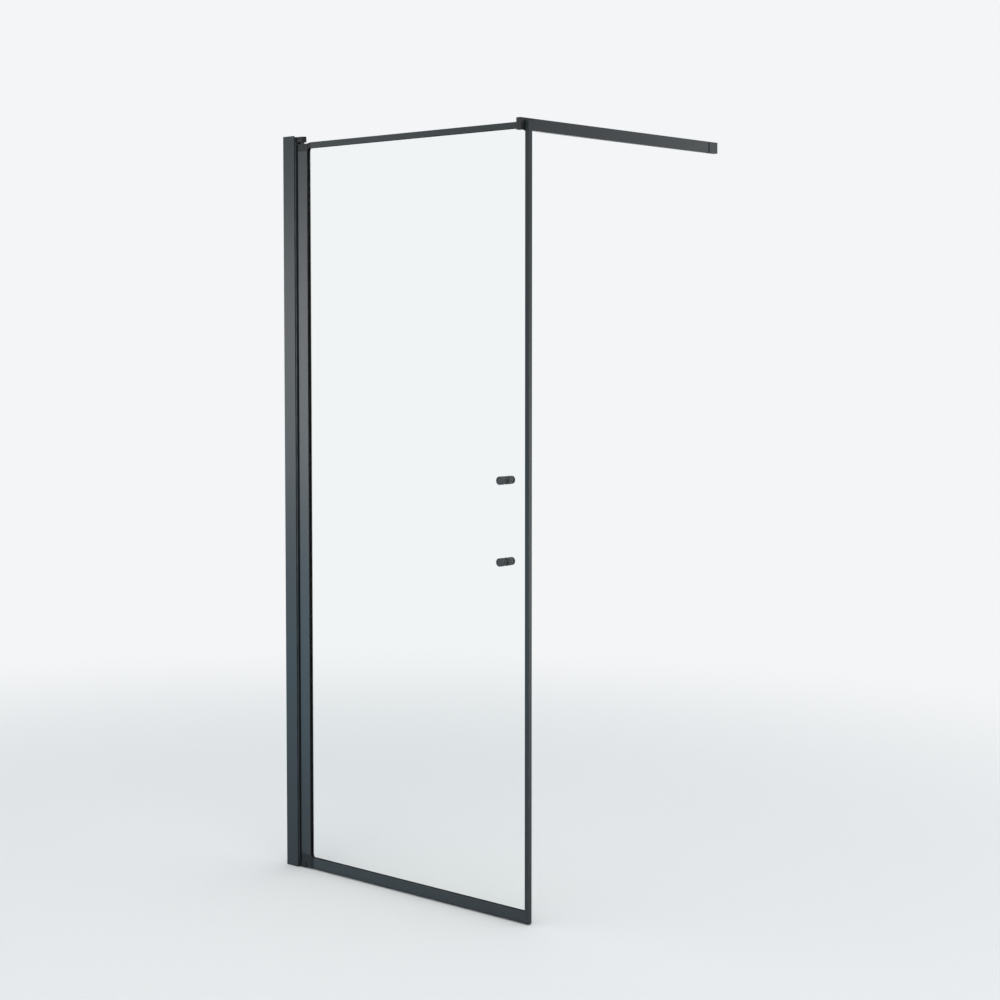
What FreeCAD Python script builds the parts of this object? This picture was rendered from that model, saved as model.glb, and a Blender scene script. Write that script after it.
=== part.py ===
import FreeCAD, Part
import math
import os

os.makedirs("parts", exist_ok=True)

# Framed pivot shower screen, millimetres.
# X runs from the wall along the panel, Y from the glass towards the second wall, Z up from the floor.

# Overall size
screen_height = 2000.0
screen_width = 875.0
arm_reach = 800.0

# Wall channel, open towards the panel
channel_depth = 44.0
channel_width = 28.0
channel_wall = 2.0
channel_edge = 0.8
wall_hole_radius = 2.75
wall_hole_count = 4
wall_hole_margin = 160.0

# Hinge post, which slides in the channel
post_depth = 36.0
post_show = 3.5
post_wall = 1.8
post_face = 3.0
post_fit = 0.3
post_edge = 0.6
port_radius = 3.2
port_sink = 0.6
port_inset = 9.0
adjust_out = 16.5
seal_width = 4.0
seal_foot = 1.4
seal_lip = 0.9
seal_lip_width = 2.4

# Screws that lock the post, with their caps
lock_screw_count = 3
lock_screw_margin = 250.0
lock_screw_setback = 12.0
lock_screw_radius = 2.0
lock_screw_length = 9.0
lock_head_radius = 4.0
lock_head_height = 2.4
cap_radius = 6.5
cap_height = 4.2
cap_wall = 1.2
cap_edge = 1.6
slot_play = 0.3

# Pivot brackets on the ends of the post
pivot_clear = 20.0
bracket_height = 14.5
bracket_drop = 3.0
bracket_lift = 1.5
bracket_arm_width = 16.0
bracket_nose = 9.4
bracket_round = 6.0
bracket_edge = 0.8
bracket_plug = 14.0
bracket_screw_radius = 1.6
bracket_screw_length = 26.0
bracket_head_radius = 3.0

# Pivot pins and bushes
pin_radius = 4.0
pin_seat = 11.0
pin_reach = 15.0
pin_chamfer = 0.6
bush_radius = 6.0
bush_length = 18.0
bush_flange_radius = 6.8
bush_flange = 2.0
bush_play = 0.25

# Hinge stile and slim frame profiles
stile_gap = 2.5
stile_width = 38.5
stile_thick = 16.0
stile_back_round = 4.0
stile_edge = 1.0
stile_wall = 1.8
stile_groove = 14.0
frame_thick = 12.5
frame_wall = 1.4
frame_edge = 0.8
free_width = 12.5
free_groove = 6.5
top_rail_height = 15.0
top_groove = 7.0
bottom_rail_height = 28.0
bottom_groove = 8.0
rail_swing_gap = 2.5
rail_floor_gap = 4.0

# Moulded corner blocks on the hinge side
corner_fillet = 8.0
block_run = 4.0
block_dip = 3.0
block_ramp = 10.0
block_ramp_round = 14.0
block_rest = 0.5
block_notch_gap = 0.8
block_notch_round = 2.0
block_plug = 25.0
frame_screw_depth = 7.0
frame_screw_pitch = 11.0
frame_screw_radius = 2.0
frame_screw_length = 12.0
frame_head_radius = 3.6

# Keys in the mitred corners on the free side
key_leg = 40.0
key_rail_leg = 3.6

# Glass and its gaskets
glass_thick = 6.0
gasket_thick = 0.8
gasket_show = 1.0
gasket_end = 0.3
groove_fit = 0.05

# Drip strip under the bottom rail
sweep_slot_width = 8.0
sweep_slot_height = 3.0
sweep_mouth = 4.0
sweep_floor_gap = 1.0
sweep_top_width = 8.0
sweep_tip_width = 3.0

# Knobs through the glass
knob_setback = 83.0
knob_height = 1000.0
knob_spacing = 203.0
knob_radius = 10.5
knob_reach = 22.5
knob_edge = 1.2
knob_neck = 9.4
knob_neck_length = 1.6
knob_dish = 0.8
knob_dish_radius = 8.0
buffer_inset = 0.4
buffer_length = 8.5
buffer_round = 2.5
stud_radius = 3.0
stud_seat = 12.0
sleeve_radius = 5.6
washer_radius = 9.0
washer_thick = 0.8

# Support arm to the second wall
arm_width = 15.0
arm_height = 30.0
arm_wall = 1.5
arm_edge = 1.5
arm_rise = 8.5
arm_gap = 0.5
jaw_thick = 11.5
liner_side = 4.0
liner_top = 1.2
liner_drop = 1.0
spigot_length = 40.0
clamp_screw_radius = 2.0
clamp_screw_spread = 8.0
clamp_screw_sink = 0.5
arm_screw_radius = 2.0
arm_screw_length = 10.0
arm_head_radius = 3.6
reach_gap = 6.0
reach_screw_radius = 2.0
reach_screw_setback = 15.0
fitting_length = 37.0
fitting_base = 5.0
fitting_spigot = 50.0
fitting_wall = 1.5
fitting_hole_radius = 2.75

# Key sockets in the screws, as shares of the screw's radius
key_width = 1.25
key_depth = 0.6

# Clearances shared by all pieces
push_fit = 0.2
press_fit = 0.02
run_fit = 0.06
seat_gap = 0.1

# Places that follow from the sizes
post_front = channel_depth + post_show
post_back = post_front - post_depth
post_half = channel_width / 2 - channel_wall - post_fit
post_bottom = bracket_lift + bracket_height
post_top = screen_height - bracket_drop - bracket_height
pivot_x = channel_depth + pivot_clear
stile_back = post_front + stile_gap
stile_front = stile_back + stile_width
rail_start = stile_front + corner_fillet + block_run
free_start = screen_width - free_width
panel_top = post_top - rail_swing_gap
window_top = panel_top - top_rail_height
panel_bottom = rail_floor_gap
window_bottom = panel_bottom + bottom_rail_height
block_top = panel_top - block_dip
block_under = post_bottom + block_rest
bush_shoulder = post_bottom + bush_play + bush_flange
bracket_arm = bracket_arm_width / 2
nose_sweep = math.hypot(bracket_nose - bracket_round, bracket_arm - bracket_round) + bracket_round
notch_x = pivot_x + nose_sweep + block_notch_gap
top_seam = window_top - corner_fillet
bottom_seam = window_bottom + corner_fillet
groove_half = glass_thick / 2 + gasket_thick + groove_fit
glass_inset = gasket_thick + push_fit
glass_back = stile_front - stile_groove + glass_inset
glass_front = free_start + free_groove - glass_inset
glass_bottom = window_bottom - bottom_groove + glass_inset
glass_top = window_top + top_groove - glass_inset
knob_x = screen_width - knob_setback
knob_levels = [knob_height - knob_spacing / 2, knob_height + knob_spacing / 2]
arm_front = free_start - arm_gap
arm_back = arm_front - arm_width
arm_mid = (arm_front + arm_back) / 2
arm_top = panel_top + arm_rise
arm_bottom = arm_top - arm_height
slot_half = frame_thick / 2 + liner_side + 2 * seat_gap
jaw_back = slot_half + jaw_thick
fitting_shoulder = arm_reach - fitting_length
tube_end = fitting_shoulder - reach_gap

OUT_OF_WALL = (1, 0, 0)
INTO_SHOWER = (0, 1, 0)
INTO_ROOM = (0, -1, 0)
UP = (0, 0, 1)
DOWN = (0, 0, -1)


def point(axis, a, b, along):
    """A point from two section coordinates and the place along the axis."""
    return {
        "x": FreeCAD.Vector(along, a, b),
        "y": FreeCAD.Vector(a, along, b),
        "z": FreeCAD.Vector(a, b, along),
    }[axis]


def section(axis, along, corners):
    """A face square to the axis; each corner is (a, b) or (a, b, radius)."""
    count = len(corners)
    starts = []
    ends = []
    arcs = []
    for i in range(count):
        here = FreeCAD.Vector(corners[i][0], corners[i][1], 0)
        before = FreeCAD.Vector(corners[i - 1][0], corners[i - 1][1], 0)
        after = FreeCAD.Vector(corners[(i + 1) % count][0], corners[(i + 1) % count][1], 0)
        radius = corners[i][2] if len(corners[i]) > 2 else 0.0
        to_before = (before - here).normalize()
        to_after = (after - here).normalize()
        half = to_before.getAngle(to_after) / 2
        run = radius / math.tan(half)
        starts.append(here + to_before * run)
        ends.append(here + to_after * run)
        bisector = (to_before + to_after).normalize()
        arcs.append(here + bisector * (radius / math.sin(half) - radius))
    edges = []
    for i in range(count):
        first = point(axis, starts[i].x, starts[i].y, along)
        last = point(axis, ends[i].x, ends[i].y, along)
        following = starts[(i + 1) % count]
        following = point(axis, following.x, following.y, along)
        if not first.isEqual(last, 1e-6):
            middle = point(axis, arcs[i].x, arcs[i].y, along)
            edges.append(Part.Arc(first, middle, last).toShape())
        if not last.isEqual(following, 1e-6):
            edges.append(Part.LineSegment(last, following).toShape())
    return Part.Face(Part.Wire(edges))


def rectangle(a0, a1, b0, b1, radius=0.0):
    """Corners of a rectangle for a section."""
    return [(a0, b0, radius), (a1, b0, radius), (a1, b1, radius), (a0, b1, radius)]


def extrude(axis, start, end, outline, *hollows):
    """A straight piece from one section, with hollows right through it."""
    face = section(axis, start, outline)
    for hollow in hollows:
        face = face.cut(section(axis, start, hollow))
    return face.extrude(point(axis, 0, 0, end - start))


def block(x0, x1, y0, y1, z0, z1):
    """A plain box between two corners."""
    return extrude("z", z0, z1, rectangle(x0, x1, y0, y1))


def turned(corners, origin, direction):
    """A turned piece; corners are (radius, distance along the axis)."""
    solid = section("y", 0, corners).revolve(FreeCAD.Vector(0, 0, 0), FreeCAD.Vector(0, 0, 1), 360)
    rotation = FreeCAD.Rotation(FreeCAD.Vector(0, 0, 1), FreeCAD.Vector(*direction))
    solid.Placement = FreeCAD.Placement(FreeCAD.Vector(*origin), rotation)
    return solid


def drill(radius, length, origin, direction):
    """A plain round hole to cut away."""
    return Part.makeCylinder(radius, length, FreeCAD.Vector(*origin), FreeCAD.Vector(*direction))


def key_socket(radius, origin, direction):
    """The six-sided recess for the key in the end of a screw, to cut away."""
    reach = radius * key_width / math.sqrt(3)
    angles = [math.pi / 3 * side for side in range(6)]
    corners = [(reach * math.cos(angle), reach * math.sin(angle)) for angle in angles]
    recess = extrude("z", 0, radius * key_depth, corners)
    rotation = FreeCAD.Rotation(FreeCAD.Vector(0, 0, 1), FreeCAD.Vector(*direction))
    recess.Placement = FreeCAD.Placement(FreeCAD.Vector(*origin), rotation)
    return recess


def countersunk(head, radius, length, origin, direction, play=0.0):
    """A countersunk screw with its key socket, or with play the hole that it sits in."""
    sink = head - radius
    corners = [
        (0, 0),
        (head + play, 0),
        (radius + play, sink),
        (radius + play, length - radius),
        (radius / 2 + play, length + play),
        (0, length + play),
    ]
    body = turned(corners, origin, direction)
    if play:
        return body
    return body.cut(key_socket(radius, origin, direction))


def evenly(count, margin, length):
    """Places of a row of holes that keeps a margin at both ends."""
    pitch = (length - 2 * margin) / (count - 1)
    return [margin + i * pitch for i in range(count)]


def group(solids):
    """Separate solids kept in one node."""
    return Part.makeCompound(solids)


# Wall channel and what locks the post in it

lock_screw_x = channel_depth - lock_screw_setback
lock_screw_levels = evenly(lock_screw_count, lock_screw_margin, screen_height)
channel_side = channel_width / 2


def wall_channel():
    """U profile with holes for the wall screws in its web and for the lock screws in its inner side."""
    outline = [
        (0, -channel_side, channel_edge),
        (channel_depth, -channel_side, channel_edge),
        (channel_depth, channel_wall - channel_side),
        (channel_wall, channel_wall - channel_side),
        (channel_wall, channel_side - channel_wall),
        (channel_depth, channel_side - channel_wall),
        (channel_depth, channel_side, channel_edge),
        (0, channel_side, channel_edge),
    ]
    body = extrude("z", 0, screen_height, outline)
    for level in evenly(wall_hole_count, wall_hole_margin, screen_height):
        body = body.cut(drill(wall_hole_radius, channel_wall, (0, 0, level), OUT_OF_WALL))
    for level in lock_screw_levels:
        start = (lock_screw_x, channel_side, level)
        body = body.cut(drill(lock_screw_radius + press_fit, channel_wall, start, INTO_ROOM))
    return body


def adjusting_screws():
    """Pan-head screws through the channel's inner side into the slots of the post."""
    corners = [
        (0, -lock_head_height),
        (lock_head_radius - lock_head_height / 2, -lock_head_height),
        (lock_head_radius, -lock_head_height / 2),
        (lock_head_radius, 0),
        (lock_screw_radius, 0),
        (lock_screw_radius, lock_screw_length - lock_screw_radius),
        (lock_screw_radius / 2, lock_screw_length),
        (0, lock_screw_length),
    ]
    head = channel_side + lock_head_height
    screws = []
    for level in lock_screw_levels:
        screw = turned(corners, (lock_screw_x, channel_side, level), INTO_ROOM)
        screws.append(screw.cut(key_socket(lock_screw_radius, (lock_screw_x, head, level), INTO_ROOM)))
    return group(screws)


def screw_caps():
    """Domed cups that snap over the screw heads."""
    corners = [
        (0, cap_height),
        (cap_radius, cap_height, cap_edge),
        (cap_radius, 0),
        (cap_radius - cap_wall, 0),
        (cap_radius - cap_wall, cap_height - cap_wall),
        (0, cap_height - cap_wall),
    ]
    places = [(lock_screw_x, channel_side, level) for level in lock_screw_levels]
    return group([turned(corners, place, INTO_SHOWER) for place in places])


# Hinge post with its seal

post_inner = post_half - post_wall
port_y = port_radius - port_sink - post_inner
port_places = [post_back + port_inset, post_front - port_inset]


def hinge_post():
    """Hollow profile with two screw ports, a seal groove in its face and a slot at each lock screw."""
    outline = [
        (post_back, -post_half, post_edge),
        (post_front, -post_half, post_edge),
        (post_front, -seal_width / 2),
        (post_front - seal_foot, -seal_width / 2),
        (post_front - seal_foot, seal_width / 2),
        (post_front, seal_width / 2),
        (post_front, post_half, post_edge),
        (post_back, post_half, post_edge),
    ]
    hollow = rectangle(post_back + post_wall, post_front - post_face, -post_inner, post_inner)
    body = extrude("z", post_bottom, post_top, outline, hollow)
    height = post_top - post_bottom
    for x in port_places:
        body = body.fuse(drill(port_radius, height, (x, port_y, post_bottom), UP))
    body = body.removeSplitter()
    for x in port_places:
        body = body.cut(drill(bracket_screw_radius + press_fit, height, (x, port_y, post_bottom), UP))
    slot_half_height = lock_screw_radius + slot_play
    for level in lock_screw_levels:
        slot = rectangle(
            lock_screw_x - adjust_out - slot_half_height,
            lock_screw_x + post_show + slot_half_height,
            level - slot_half_height,
            level + slot_half_height,
            lock_screw_radius,
        )
        body = body.cut(extrude("y", post_inner - post_wall, post_half + post_wall, slot))
    return body


def hinge_seal():
    """Soft strip whose foot fills the groove of the post and whose lip faces the hinge stile."""
    foot = seal_width / 2 - push_fit
    lip = seal_lip_width / 2
    outline = [
        (post_front - seal_foot, -foot),
        (post_front, -foot),
        (post_front + seal_lip, -lip),
        (post_front + seal_lip, lip),
        (post_front, foot),
        (post_front - seal_foot, foot),
    ]
    return extrude("z", post_bottom, post_top, outline)


# Pivot brackets, pins and screws


def pivot_bracket(foot, plug_from):
    """Cast arm that lies in the channel on the post's end and holds the pivot pin past the mouth."""
    nose = pivot_x + bracket_nose
    outline = [
        (post_back, -post_half, post_edge),
        (post_front, -post_half, bracket_edge),
        (post_front, -bracket_arm, bracket_edge),
        (nose, -bracket_arm, bracket_round),
        (nose, bracket_arm, bracket_round),
        (post_front, bracket_arm, bracket_edge),
        (post_front, post_half, bracket_edge),
        (post_back, post_half, post_edge),
    ]
    body = extrude("z", foot, foot + bracket_height, outline)
    plug = block(
        post_back + post_wall + push_fit,
        post_front - post_face - push_fit,
        port_y + port_radius + push_fit,
        post_inner - push_fit,
        plug_from,
        plug_from + bracket_plug,
    )
    return body.fuse(plug).removeSplitter()


def bracket_screw_set(level, direction, play=0.0):
    """The two screws of one bracket, or with play their holes."""
    places = [(x, port_y, level) for x in port_places]
    sizes = (bracket_head_radius, bracket_screw_radius, bracket_screw_length)
    return [countersunk(*sizes, place, direction, play) for place in places]


def top_pivot_bracket():
    body = pivot_bracket(post_top, post_top - bracket_plug)
    body = body.cut(drill(pin_radius + press_fit, pin_seat, (pivot_x, 0, post_top), UP))
    for hole in bracket_screw_set(post_top + bracket_height, DOWN, press_fit):
        body = body.cut(hole)
    return body


def bottom_pivot_bracket():
    body = pivot_bracket(bracket_lift, post_bottom)
    body = body.cut(drill(pin_radius + press_fit, pin_seat, (pivot_x, 0, post_bottom), DOWN))
    for hole in bracket_screw_set(bracket_lift, UP, press_fit):
        body = body.cut(hole)
    return body


def bracket_screws():
    upper = bracket_screw_set(post_top + bracket_height, DOWN)
    lower = bracket_screw_set(bracket_lift, UP)
    return group(upper + lower)


def pivot_pin(seat_level, tip_level, direction):
    """Steel pin with chamfered ends, from its seat in the bracket into the bush."""
    length = abs(tip_level - seat_level)
    corners = [
        (0, 0),
        (pin_radius - pin_chamfer, 0),
        (pin_radius, pin_chamfer),
        (pin_radius, length - pin_chamfer),
        (pin_radius - pin_chamfer, length),
        (0, length),
    ]
    return turned(corners, (pivot_x, 0, seat_level), direction)


def pivot_bush(level, direction):
    """Flanged plain bearing; the flange lies on the block and the sleeve runs into it."""
    bore = pin_radius + run_fit
    corners = [
        (bore, -bush_flange),
        (bush_flange_radius - bush_play, -bush_flange),
        (bush_flange_radius, bush_play - bush_flange),
        (bush_flange_radius, 0),
        (bush_radius, 0),
        (bush_radius, bush_length),
        (bore, bush_length),
    ]
    return turned(corners, (pivot_x, 0, level), direction)


# Frame of the panel

chamber_back = stile_back + stile_wall
chamber_front = stile_front - stile_groove - stile_wall
chamber_half = stile_thick / 2 - stile_wall
chamber_round = stile_back_round - stile_wall
frame_half = frame_thick / 2
slim_half = frame_half - frame_wall


def stile_outline():
    """Section of the hinge stile with its rounded back, which turns inside the post's face."""
    half = stile_thick / 2
    return [
        (stile_back, -half, stile_back_round),
        (stile_front, -half, stile_edge),
        (stile_front, half, stile_edge),
        (stile_back, half, stile_back_round),
    ]


def frame_screw_set(play=0.0):
    """Countersunk screws through the back of the stile, two into each corner block, or their holes."""
    depths = [frame_screw_depth, frame_screw_depth + frame_screw_pitch]
    levels = [top_seam - depth for depth in depths] + [bottom_seam + depth for depth in depths]
    places = [(stile_back, 0, level) for level in levels]
    sizes = (frame_head_radius, frame_screw_radius, frame_screw_length)
    return [countersunk(*sizes, place, OUT_OF_WALL, play) for place in places]


def hinge_stile():
    """Wide profile with a closed chamber behind the glass groove."""
    chamber = rectangle(chamber_back, chamber_front, -chamber_half, chamber_half, chamber_round)
    body = extrude("z", bottom_seam, top_seam, stile_outline(), chamber)
    groove = stile_front - stile_groove
    body = body.cut(block(groove, stile_front, -groove_half, groove_half, bottom_seam, top_seam))
    for hole in frame_screw_set(press_fit):
        body = body.cut(hole)
    return body


def free_stile():
    """Slim profile, mitred to both rails."""
    outline = rectangle(free_start, screen_width, -frame_half, frame_half, frame_edge)
    groove_floor = free_start + free_groove
    chamber = rectangle(
        groove_floor + frame_wall, screen_width - frame_wall, -slim_half, slim_half
    )
    body = extrude("z", panel_bottom, panel_top, outline, chamber)
    body = body.cut(block(free_start, groove_floor, -groove_half, groove_half, panel_bottom, panel_top))
    mitred = [
        (free_start, window_bottom),
        (screen_width, panel_bottom),
        (screen_width, panel_top),
        (free_start, window_top),
    ]
    return body.common(extrude("y", -frame_half, frame_half, mitred))


def top_rail():
    """Slim profile with the glass groove below and a chamber above, mitred at its free end."""
    groove_floor = window_top + top_groove
    outline = rectangle(-frame_half, frame_half, window_top, panel_top, frame_edge)
    chamber = rectangle(-slim_half, slim_half, groove_floor + frame_wall, panel_top - frame_wall)
    body = extrude("x", rail_start, screen_width, outline, chamber)
    body = body.cut(block(rail_start, screen_width, -groove_half, groove_half, window_top, groove_floor))
    mitred = [
        (rail_start, window_top),
        (free_start, window_top),
        (screen_width, panel_top),
        (rail_start, panel_top),
    ]
    return body.common(extrude("y", -frame_half, frame_half, mitred))


sweep_slot_floor = panel_bottom + frame_wall
sweep_slot_top = sweep_slot_floor + sweep_slot_height
bottom_chamber_low = sweep_slot_top + frame_wall


def bottom_rail():
    """Taller profile with the glass groove above, a chamber and the slot of the drip strip below."""
    groove_floor = window_bottom - bottom_groove
    outline = rectangle(-frame_half, frame_half, panel_bottom, window_bottom, frame_edge)
    chamber = rectangle(-slim_half, slim_half, bottom_chamber_low, groove_floor - frame_wall)
    slot = rectangle(-sweep_slot_width / 2, sweep_slot_width / 2, sweep_slot_floor, sweep_slot_top)
    mouth = sweep_mouth / 2
    body = extrude("x", rail_start, screen_width, outline, chamber, slot)
    body = body.cut(block(rail_start, screen_width, -groove_half, groove_half, groove_floor, window_bottom))
    body = body.cut(block(rail_start, screen_width, -mouth, mouth, panel_bottom, sweep_slot_floor))
    mitred = [
        (rail_start, panel_bottom),
        (screen_width, panel_bottom),
        (free_start, window_bottom),
        (rail_start, window_bottom),
    ]
    return body.common(extrude("y", -frame_half, frame_half, mitred))


# Corner blocks on the hinge side


def block_plan(low, high):
    """Plan of a corner block: as thick as the stile, tapered to the slim rail."""
    half = stile_thick / 2
    outline = [
        (stile_back, -half, stile_back_round),
        (stile_front, -half, stile_edge),
        (stile_front + corner_fillet, -frame_half, stile_edge),
        (rail_start, -frame_half),
        (rail_start, frame_half),
        (stile_front + corner_fillet, frame_half, stile_edge),
        (stile_front, half, stile_edge),
        (stile_back, half, stile_back_round),
    ]
    return extrude("z", low, high, outline)


def stile_plug(low, high):
    """Tongue that fills the end of the stile's chamber."""
    half = chamber_half - push_fit
    ends = (chamber_back + push_fit, chamber_front - push_fit)
    return extrude("z", low, high, rectangle(*ends, -half, half, chamber_round))


def rail_plug(low, high):
    """Tongue that fills the end of a rail's chamber."""
    reach = rail_start + block_plug
    return block(rail_start, reach, push_fit - slim_half, slim_half - push_fit, low, high)


def finish_block(body, slot_low, slot_high, bush_level, bush_direction):
    """Cuts the glass slot, the seat of the bush and the screw holes."""
    groove = stile_front - stile_groove
    body = body.cut(block(groove, rail_start, -groove_half, groove_half, slot_low, slot_high))
    seat = drill(bush_radius + press_fit, bush_length, (pivot_x, 0, bush_level), bush_direction)
    body = body.cut(seat)
    for hole in frame_screw_set(press_fit):
        body = body.cut(hole)
    return body


def top_corner_block():
    """Corner that sinks in a soft ramp from the rail to the seat of the top pivot."""
    ramp_high = rail_start - block_run / 2
    side = [
        (stile_back, top_seam),
        (stile_front, top_seam),
        (stile_front, window_top, corner_fillet),
        (rail_start, window_top),
        (rail_start, panel_top),
        (ramp_high, panel_top, block_ramp_round),
        (ramp_high - block_ramp, block_top, block_ramp_round),
        (stile_back, block_top, stile_edge),
    ]
    half = stile_thick / 2
    body = extrude("y", -half, half, side).common(block_plan(top_seam, panel_top))
    body = body.fuse(stile_plug(top_seam - block_plug, top_seam))
    chamber_low = window_top + top_groove + frame_wall
    body = body.fuse(rail_plug(chamber_low + push_fit, panel_top - frame_wall - push_fit))
    groove_floor = window_top + top_groove
    return finish_block(body.removeSplitter(), top_seam, groove_floor, block_top, DOWN)


def bottom_corner_block():
    """Corner cut out over the lower bracket arm, with a recess for the flange of the bush."""
    side = [
        (stile_back, block_under, stile_edge),
        (notch_x, block_under, block_notch_round),
        (notch_x, panel_bottom),
        (rail_start, panel_bottom),
        (rail_start, window_bottom),
        (stile_front, window_bottom, corner_fillet),
        (stile_front, bottom_seam),
        (stile_back, bottom_seam),
    ]
    half = stile_thick / 2
    body = extrude("y", -half, half, side).common(block_plan(panel_bottom, bottom_seam))
    body = body.fuse(stile_plug(bottom_seam, bottom_seam + block_plug))
    groove_floor = window_bottom - bottom_groove
    chamber_high = groove_floor - frame_wall
    body = body.fuse(rail_plug(bottom_chamber_low + push_fit, chamber_high - push_fit))
    recess_depth = bush_shoulder - block_under
    recess = drill(bush_flange_radius + push_fit, recess_depth, (pivot_x, 0, block_under), UP)
    body = body.removeSplitter().cut(recess)
    return finish_block(body, groove_floor, bottom_seam, bush_shoulder, UP)


# Keys of the free corners

key_outer = screen_width - frame_wall - push_fit
key_inner = free_start + free_groove + frame_wall + push_fit
key_half = slim_half - push_fit


def corner_key(rail_low, rail_high, stile_low, stile_high):
    """L-shaped key, one leg in the rail's chamber and one in the free stile's."""
    rail_leg = block(free_start - key_leg, key_outer, -key_half, key_half, rail_low, rail_high)
    stile_leg = block(key_inner, key_outer, -key_half, key_half, stile_low, stile_high)
    return rail_leg.fuse(stile_leg).removeSplitter()


def top_corner_key():
    high = panel_top - frame_wall - push_fit
    return corner_key(high - key_rail_leg, high, window_top - key_leg, high)


def bottom_corner_key():
    low = bottom_chamber_low + push_fit
    return corner_key(low, low + key_rail_leg, low, window_bottom + key_leg)


# Glass, gaskets and drip strip


def glass_pane():
    """Toughened pane with a hole for each pair of knobs."""
    half = glass_thick / 2
    body = block(glass_back, glass_front, -half, half, glass_bottom, glass_top)
    for level in knob_levels:
        hole = drill(sleeve_radius + push_fit, glass_thick, (knob_x, -half, level), INTO_SHOWER)
        body = body.cut(hole)
    return body


def glazing_gaskets():
    """Four U strips between the edge of the glass and the grooves, with wings over the inner sides."""
    inner = glass_thick / 2
    outer = inner + gasket_thick

    def strip(axis, edge, frame, ends, wing, wing_ends):
        """One strip on an edge of the glass, held by the profile whose inner side is at frame."""
        side = math.copysign(1, frame - edge)
        lip = frame + side * gasket_show

        def bar(start, half, reach):
            corners = [(start, -half), (lip, -half), (lip, half), (start, half)]
            if axis == "x":
                corners = [(across, along) for along, across in corners]
            return extrude(axis, *reach, corners)

        body = bar(edge - side * gasket_thick, outer, ends)
        body = body.fuse(bar(frame + side * groove_fit, wing, wing_ends))
        return body.cut(bar(edge, inner, ends)).removeSplitter()

    stile_wing = stile_thick / 2 - stile_edge - push_fit
    slim_wing = frame_half - frame_edge - push_fit
    height = (glass_bottom, glass_top)
    stile_run = (bottom_seam + gasket_end, top_seam - gasket_end)
    free_run = (window_bottom + groove_fit, window_top - groove_fit)
    free_end = free_start - gasket_show - gasket_end
    length = (stile_front + gasket_show + gasket_end, free_end)
    rail_run = (stile_front + corner_fillet + gasket_end, free_end)
    return group(
        [
            strip("z", glass_back, stile_front, height, stile_wing, stile_run),
            strip("z", glass_front, free_start, height, slim_wing, free_run),
            strip("x", glass_top, window_top, length, slim_wing, rail_run),
            strip("x", glass_bottom, window_bottom, length, slim_wing, rail_run),
        ]
    )


def bottom_sweep():
    """Soft strip: a foot in the slot of the rail and a tapered lip along the whole bottom edge."""
    foot = sweep_slot_width / 2 - push_fit
    neck = sweep_mouth / 2 - push_fit
    wide = sweep_top_width / 2
    tip = sweep_tip_width / 2
    tongue = [
        (-neck, panel_bottom),
        (neck, panel_bottom),
        (neck, sweep_slot_floor + push_fit),
        (foot, sweep_slot_floor + push_fit),
        (foot, sweep_slot_top - push_fit),
        (-foot, sweep_slot_top - push_fit),
        (-foot, sweep_slot_floor + push_fit),
        (-neck, sweep_slot_floor + push_fit),
    ]
    lip = [
        (-tip, sweep_floor_gap),
        (tip, sweep_floor_gap),
        (wide, panel_bottom),
        (-wide, panel_bottom),
    ]
    held = extrude("x", rail_start, free_start, tongue)
    free = extrude("x", notch_x, screen_width, lip)
    return held.fuse(free).removeSplitter()


# Knobs

glass_face = glass_thick / 2
knob_foot = glass_face + washer_thick


def knob_corners():
    """Section of a knob from its foot, with a waist beside the glass and a slightly dished end."""
    length = knob_reach - knob_foot
    return [
        (stud_radius + press_fit, 0),
        (knob_neck, 0),
        (knob_neck, knob_neck_length),
        (knob_radius - knob_edge / 2, knob_neck_length),
        (knob_radius, knob_neck_length + knob_edge / 2),
        (knob_radius, length, knob_edge),
        (knob_dish_radius, length),
        (knob_dish_radius - knob_dish, length - knob_dish),
        (0, length - knob_dish),
        (0, stud_seat),
        (stud_radius + press_fit, stud_seat),
    ]


def knobs(direction):
    """Both knobs on one side of the glass; the two sides carry the same piece."""
    side = direction[1] * knob_foot
    places = [(knob_x, side, level) for level in knob_levels]
    return group([turned(knob_corners(), place, direction) for place in places])


def knob_buffers():
    """Soft end pieces that stop the inner knobs from striking the wall."""
    radius = knob_radius - buffer_inset
    corners = [
        (0, -knob_dish),
        (knob_dish_radius - knob_dish, -knob_dish),
        (knob_dish_radius, 0),
        (radius, 0),
        (radius, buffer_length, buffer_round),
        (0, buffer_length),
    ]
    places = [(knob_x, knob_reach, level) for level in knob_levels]
    return group([turned(corners, place, INTO_SHOWER) for place in places])


def knob_studs():
    """Studs that draw each pair of knobs together through the glass."""
    half = knob_foot + stud_seat - seat_gap
    return group(
        [drill(stud_radius, 2 * half, (knob_x, -half, level), INTO_SHOWER) for level in knob_levels]
    )


def ring(outer, inner, length, origin):
    corners = [(inner, 0), (outer, 0), (outer, length), (inner, length)]
    return turned(corners, origin, INTO_SHOWER)


def knob_sleeves():
    places = [(knob_x, -glass_face, level) for level in knob_levels]
    return group([ring(sleeve_radius, stud_radius + run_fit, glass_thick, place) for place in places])


def knob_washers():
    sides = [-knob_foot, glass_face]
    places = [(knob_x, side, level) for side in sides for level in knob_levels]
    return group([ring(washer_radius, stud_radius + run_fit, washer_thick, place) for place in places])


# Support arm

spigot_half = arm_width / 2 - arm_wall - push_fit
spigot_low = arm_bottom + arm_wall + push_fit
spigot_high = arm_top - arm_wall - push_fit
saddle_roof = panel_top + liner_top + 2 * seat_gap
clamp_screw_mid = (window_top + panel_top) / 2
arm_outline = rectangle(arm_back, arm_front, arm_bottom, arm_top, arm_edge)


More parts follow.
